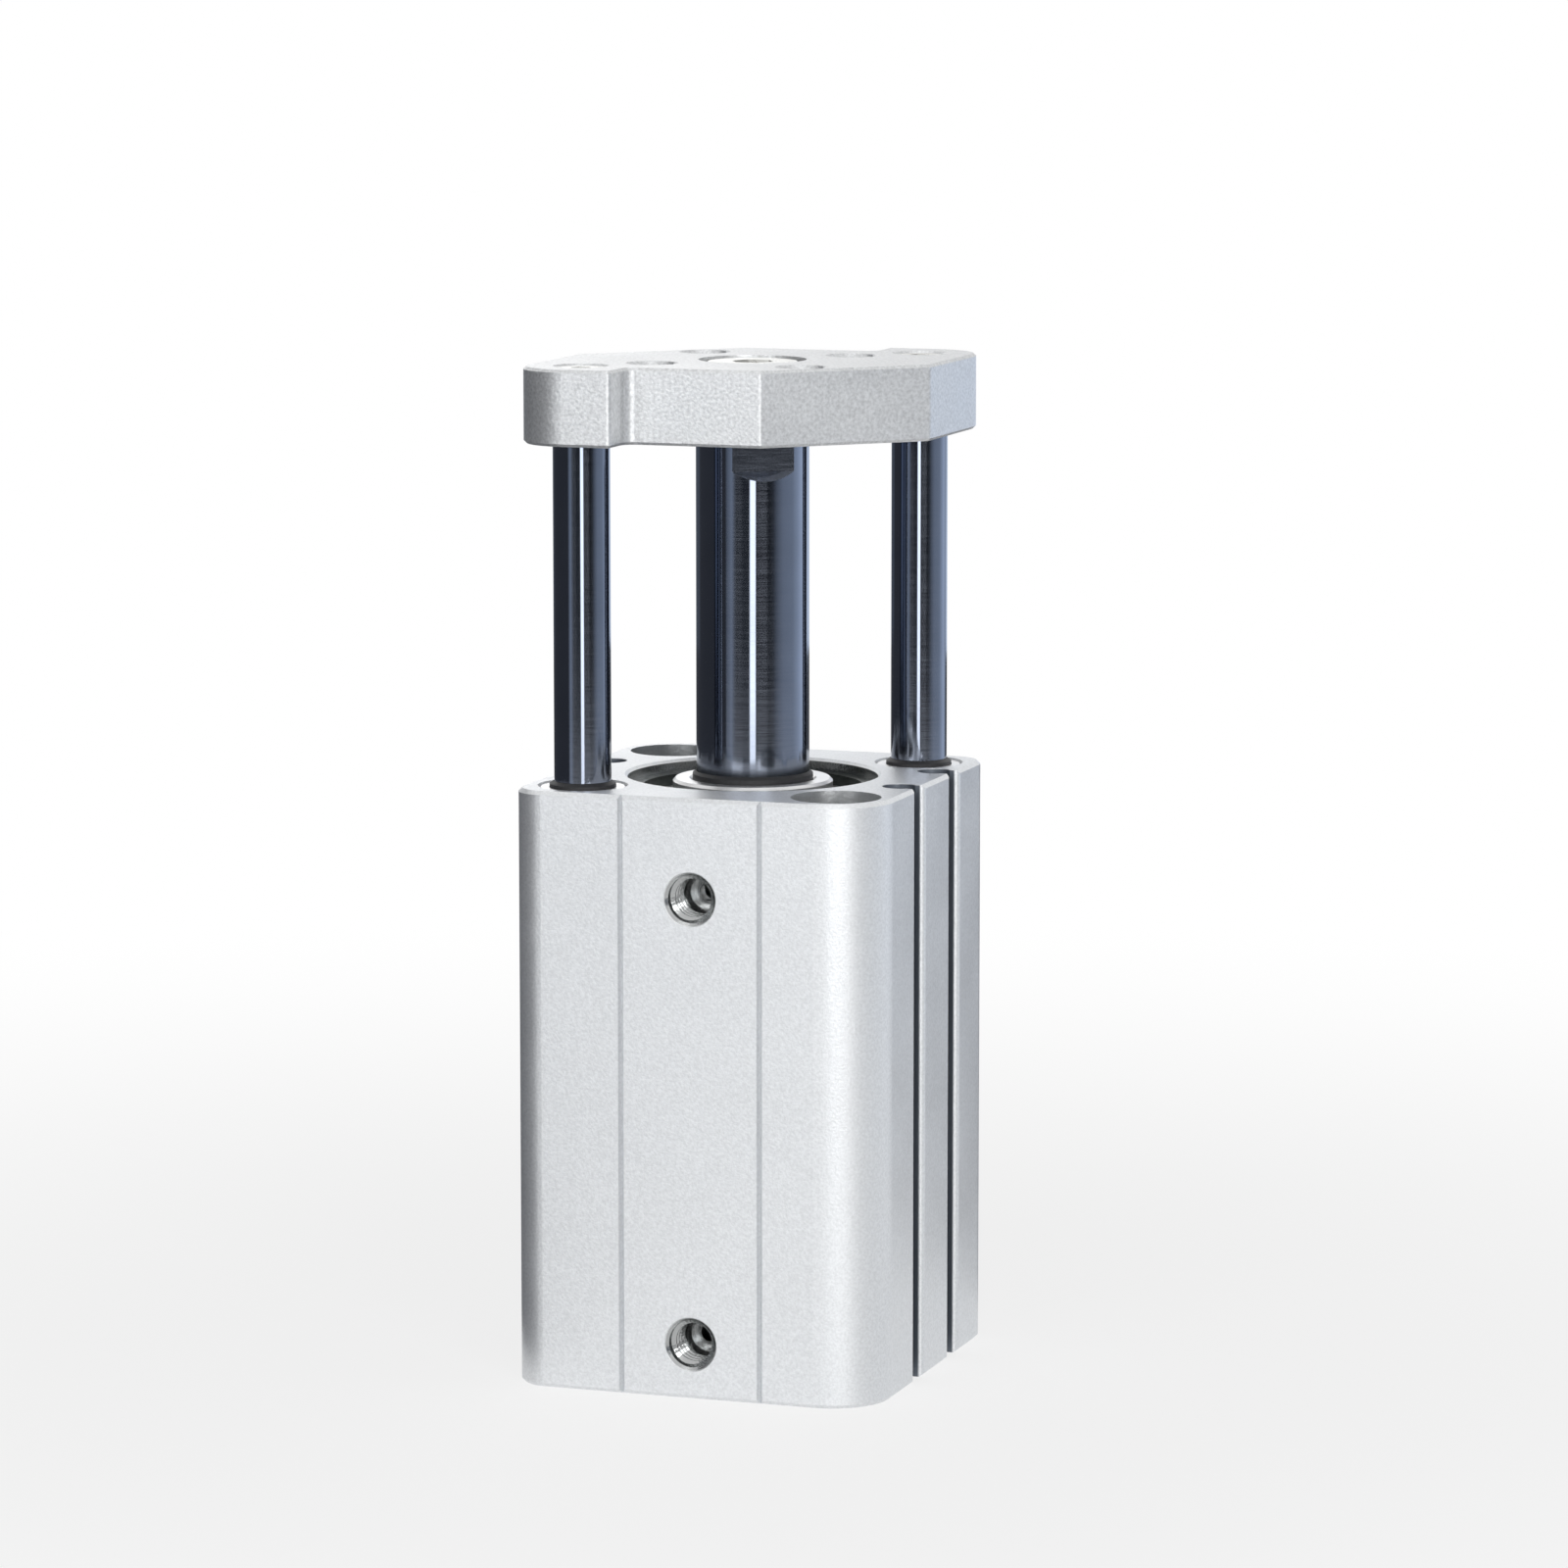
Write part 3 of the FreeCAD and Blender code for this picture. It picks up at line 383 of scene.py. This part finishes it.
def add_threads():
    """Threads of the two ports and of the plate's four tapped holes."""
    mounts = {m["name"]: m for m in frame["record"]["mounts"]}
    for name in ("rod_end_port", "head_end_port"):
        mount = mounts[name]
        length = mount["dims"]["length_mm"] * MM
        radius = mount["dims"]["r_mm"] * MM
        centre = Vector(mount["pos_m"])
        mouth = centre + Vector(mount["axis"]) * (length / 2 - THREAD_PITCH / 2)
        thread(name + "_thread", mouth, mount["axis"], radius, length - THREAD_PITCH, "cylinder",
               "barrel_aluminium")
    plate_low, plate_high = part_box("end_plate")
    taps = mounts["plate_tapped_holes"]["dims"]
    half_x, half_y = taps["spacing_x_mm"] * MM / 2, taps["spacing_y_mm"] * MM / 2
    length = plate_high[2] - plate_low[2] - THREAD_PITCH
    corners = (("front_left", -1, -1), ("front_right", 1, -1), ("back_left", -1, 1), ("back_right", 1, 1))
    for label, sx, sy in corners:
        mouth = (sx * half_x, sy * half_y, plate_high[2] - THREAD_PITCH / 2)
        thread("plate_thread_" + label, mouth, (0, 0, 1), taps["hole_r_mm"] * MM, length - THREAD_PITCH,
               "slide", "plate_aluminium")


def plain_object(name, corners, faces, material):
    mesh = bpy.data.meshes.new(name)
    mesh.from_pydata(corners, [], faces)
    mesh.materials.append(material)
    piece = bpy.data.objects.new(name, mesh)
    bpy.context.collection.objects.link(piece)
    return piece


def white_to_view(tree, fallback, white):
    """Mix of two shaders: white where the camera, a mirror or glass looks straight at it."""
    path = tree.nodes.new("ShaderNodeLightPath")
    seen = path.outputs["Is Camera Ray"]
    for name in ("Is Glossy Ray", "Is Transmission Ray"):
        either = tree.nodes.new("ShaderNodeMath")
        either.operation = "MAXIMUM"
        tree.links.new(seen, either.inputs[0])
        tree.links.new(path.outputs[name], either.inputs[1])
        seen = either.outputs[0]
    mix = tree.nodes.new("ShaderNodeMixShader")
    tree.links.new(seen, mix.inputs["Fac"])
    tree.links.new(fallback, mix.inputs[1])
    tree.links.new(white, mix.inputs[2])
    return mix.outputs["Shader"]


def add_floor():
    """Endless table that keeps the object's shadow near it and turns white further out."""
    material = bpy.data.materials.new("floor")
    material.use_nodes = True
    tree = material.node_tree
    tree.nodes.clear()
    diffuse = tree.nodes.new("ShaderNodeBsdfDiffuse")
    diffuse.inputs["Color"].default_value = (FLOOR_GREY, FLOOR_GREY, FLOOR_GREY, 1.0)
    glow = tree.nodes.new("ShaderNodeEmission")
    place = tree.nodes.new("ShaderNodeTexCoord")
    off = tree.nodes.new("ShaderNodeVectorMath")
    off.operation = "LENGTH"
    tree.links.new(place.outputs["Object"], off.inputs[0])
    fade = tree.nodes.new("ShaderNodeMapRange")
    fade.interpolation_type = "SMOOTHSTEP"
    fade.inputs["From Min"].default_value = FLOOR_FADE[0]
    fade.inputs["From Max"].default_value = FLOOR_FADE[1]
    fade.inputs["To Min"].default_value = FLOOR_GLOW
    tree.links.new(off.outputs["Value"], fade.inputs["Value"])
    blend = tree.nodes.new("ShaderNodeMixShader")
    tree.links.new(fade.outputs["Result"], blend.inputs["Fac"])
    tree.links.new(diffuse.outputs["BSDF"], blend.inputs[1])
    tree.links.new(glow.outputs["Emission"], blend.inputs[2])
    output = tree.nodes.new("ShaderNodeOutputMaterial")
    tree.links.new(white_to_view(tree, diffuse.outputs["BSDF"], blend.outputs["Shader"]),
                   output.inputs["Surface"])
    r = FLOOR_REACH
    plain_object("floor", [(-r, -r, 0), (r, -r, 0), (r, r, 0), (-r, r, 0)], [(0, 1, 2, 3)], material)


def set_world(level):
    """Dim light from all round, behind a background that looks white."""
    world = bpy.data.worlds.new("studio")
    world.use_nodes = True
    bpy.context.scene.world = world
    tree = world.node_tree
    tree.nodes.clear()
    dim = tree.nodes.new("ShaderNodeBackground")
    dim.inputs["Color"].default_value = (level, level, level, 1.0)
    white = tree.nodes.new("ShaderNodeBackground")
    white.inputs["Color"].default_value = (1.0, 1.0, 1.0, 1.0)
    output = tree.nodes.new("ShaderNodeOutputWorld")
    tree.links.new(white_to_view(tree, dim.outputs["Background"], white.outputs["Background"]),
                   output.inputs["Surface"])


def area_lamp(name, azimuth, elevation, distance, size, power, aim=(0, 0, 0.05)):
    """Soft box that stands off the object at an azimuth from the front, turned towards its aim."""
    a, e = math.radians(azimuth), math.radians(elevation)
    back = Vector((math.sin(a) * math.cos(e), -math.cos(a) * math.cos(e), math.sin(e)))
    data = bpy.data.lights.new(name, "AREA")
    data.shape = "RECTANGLE"
    data.size, data.size_y = size
    data.energy = power
    lamp = bpy.data.objects.new(name, data)
    lamp.location = Vector(aim) + back * distance
    lamp.rotation_euler = back.to_track_quat("Z", "Y").to_euler()
    bpy.context.collection.objects.link(lamp)


def card_material():
    """Grey card whose lightness goes round it in upright bands."""
    material = bpy.data.materials.new("studio_card")
    material.use_nodes = True
    tree = material.node_tree
    tree.nodes.clear()
    place = tree.nodes.new("ShaderNodeTexCoord")
    split = tree.nodes.new("ShaderNodeSeparateXYZ")
    tree.links.new(place.outputs["Object"], split.inputs[0])
    turn = tree.nodes.new("ShaderNodeMath")
    turn.operation = "ARCTAN2"
    down = tree.nodes.new("ShaderNodeMath")
    down.operation = "MULTIPLY"
    down.inputs[1].default_value = -1.0
    tree.links.new(split.outputs["Y"], down.inputs[0])
    tree.links.new(split.outputs["X"], turn.inputs[0])
    tree.links.new(down.outputs[0], turn.inputs[1])
    share = tree.nodes.new("ShaderNodeMapRange")
    share.inputs["From Min"].default_value = -math.pi
    share.inputs["From Max"].default_value = math.pi
    tree.links.new(turn.outputs[0], share.inputs["Value"])
    ramp = tree.nodes.new("ShaderNodeValToRGB")
    tree.links.new(share.outputs["Result"], ramp.inputs["Fac"])
    elements = ramp.color_ramp.elements
    while len(elements) > 1:
        elements.remove(elements[-1])
    for index, (azimuth, level) in enumerate(CARD_BANDS):
        position = (azimuth + 180) / 360
        element = elements[0] if index == 0 else elements.new(position)
        element.position = position
        tint = BRIGHT_TINT if level == CARD_GLOW else DIM_TINT
        element.color = (*scale_colour(tint, level / CARD_GLOW), 1.0)
    glow = tree.nodes.new("ShaderNodeEmission")
    glow.inputs["Strength"].default_value = CARD_GLOW
    tree.links.new(ramp.outputs["Color"], glow.inputs["Color"])
    output = tree.nodes.new("ShaderNodeOutputMaterial")
    tree.links.new(glow.outputs["Emission"], output.inputs["Surface"])
    return material


def add_card_ring(radius, height):
    """Low ring of grey cards round the object, seen only in reflections."""
    corners, faces = [], []
    for i in range(CARD_PARTS):
        angle = 2 * math.pi * i / CARD_PARTS
        for z in (0.0, height):
            corners.append((radius * math.sin(angle), -radius * math.cos(angle), z))
        j = (i + 1) % CARD_PARTS
        faces.append((2 * i, 2 * j, 2 * j + 1, 2 * i + 1))
    ring = plain_object("studio_cards", corners, faces, card_material())
    hide_but_reflect(ring)


def add_flag(name, start, end, height, level):
    """Dark card, seen only in reflections, that stands round a sector and lies on the table up to it."""
    material = bpy.data.materials.new(name)
    material.use_nodes = True
    tree = material.node_tree
    tree.nodes.clear()
    glow = tree.nodes.new("ShaderNodeEmission")
    glow.inputs["Color"].default_value = (level * 0.9, level * 0.95, level * 1.1, 1.0)
    output = tree.nodes.new("ShaderNodeOutputMaterial")
    tree.links.new(glow.outputs["Emission"], output.inputs["Surface"])
    corners, faces = [], []
    for i in range(FLAG_PARTS + 1):
        angle = math.radians(start + (end - start) * i / FLAG_PARTS)
        for radius, z in ((FLAG_NEAR, FLAG_LIFT), (FLAG_FAR, FLAG_LIFT), (FLAG_FAR, height)):
            corners.append((radius * math.sin(angle), -radius * math.cos(angle), z))
    for i in range(FLAG_PARTS):
        for k in range(2):
            faces.append((3 * i + k, 3 * i + 3 + k, 3 * i + 4 + k, 3 * i + 1 + k))
    hide_but_reflect(plain_object(name, corners, faces, material))


def hide_but_reflect(card):
    """Leave a card to glossy rays alone: it casts no shadow and lights nothing matt."""
    card.visible_camera = False
    card.visible_diffuse = False
    card.visible_shadow = False
    card.visible_transmission = False


def add_camera():
    data = bpy.data.cameras.new("camera")
    data.lens = CAMERA_LENS
    data.sensor_width = 36.0
    data.clip_end = 100.0
    camera = bpy.data.objects.new("camera", data)
    camera.location = CAMERA_PLACE
    camera.rotation_euler = (math.radians(90 - VIEW_ELEVATION), 0, math.radians(VIEW_AZIMUTH))
    bpy.context.collection.objects.link(camera)
    bpy.context.scene.camera = camera


dress_nodes()
add_threads()
add_floor()
set_world(0.12)
add_card_ring(0.42, 0.13)
add_flag("studio_flag_left", -115, -36, 0.16, 0.08)
add_flag("studio_flag_left_low", -160, -115, 0.06, 0.08)
add_flag("studio_flag_back", 148, 200, 0.06, 0.12)
area_lamp("key_right", 38, 12, 1.1, (0.4, 0.4), 3.45)
area_lamp("key_left", -14, 12, 1.1, (0.4, 0.4), 2.4)
area_lamp("rim_left", -150, 20, 1.1, (0.4, 0.4), 0.6)
area_lamp("rim_right", 150, 12, 1.1, (0.4, 0.4), 0.5)
area_lamp("top_box", 0, 88, 1.1, (0.6, 0.6), 1.0)
add_camera()
bpy.context.scene.view_settings.view_transform = "Standard"
